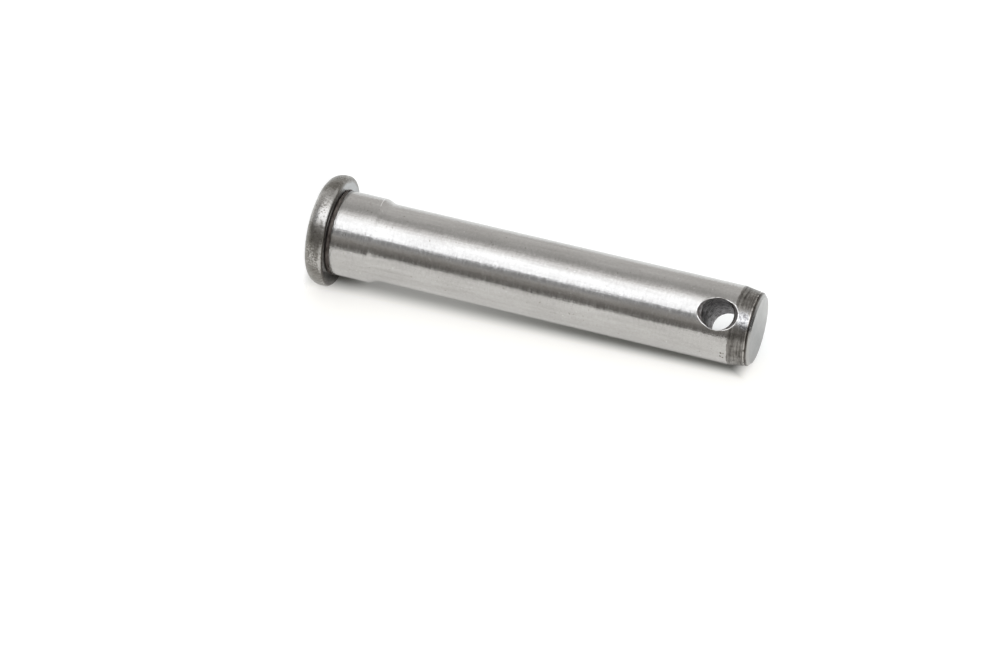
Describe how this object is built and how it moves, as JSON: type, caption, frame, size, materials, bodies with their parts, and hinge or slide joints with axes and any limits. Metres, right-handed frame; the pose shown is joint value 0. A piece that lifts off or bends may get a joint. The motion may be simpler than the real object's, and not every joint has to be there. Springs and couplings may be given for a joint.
{
  "type": "clevis pin",
  "caption": "Headed steel clevis pin with a short collar under its flat round head, a tapered nose and a cross hole for a cotter.",
  "frame": {"origin": "centre of the head's outer face, which the pin stands on", "axes": "+Z along the pin towards its free end, +X along the cross hole"},
  "size_m": [0.0182, 0.0182, 0.0732],
  "materials": {
    "turned_steel": "turned bright steel, with dark forge scale left on the head"
  },
  "bodies": {
    "root": {"clevis_pin": "turned_steel"}
  },
  "joints": []
}
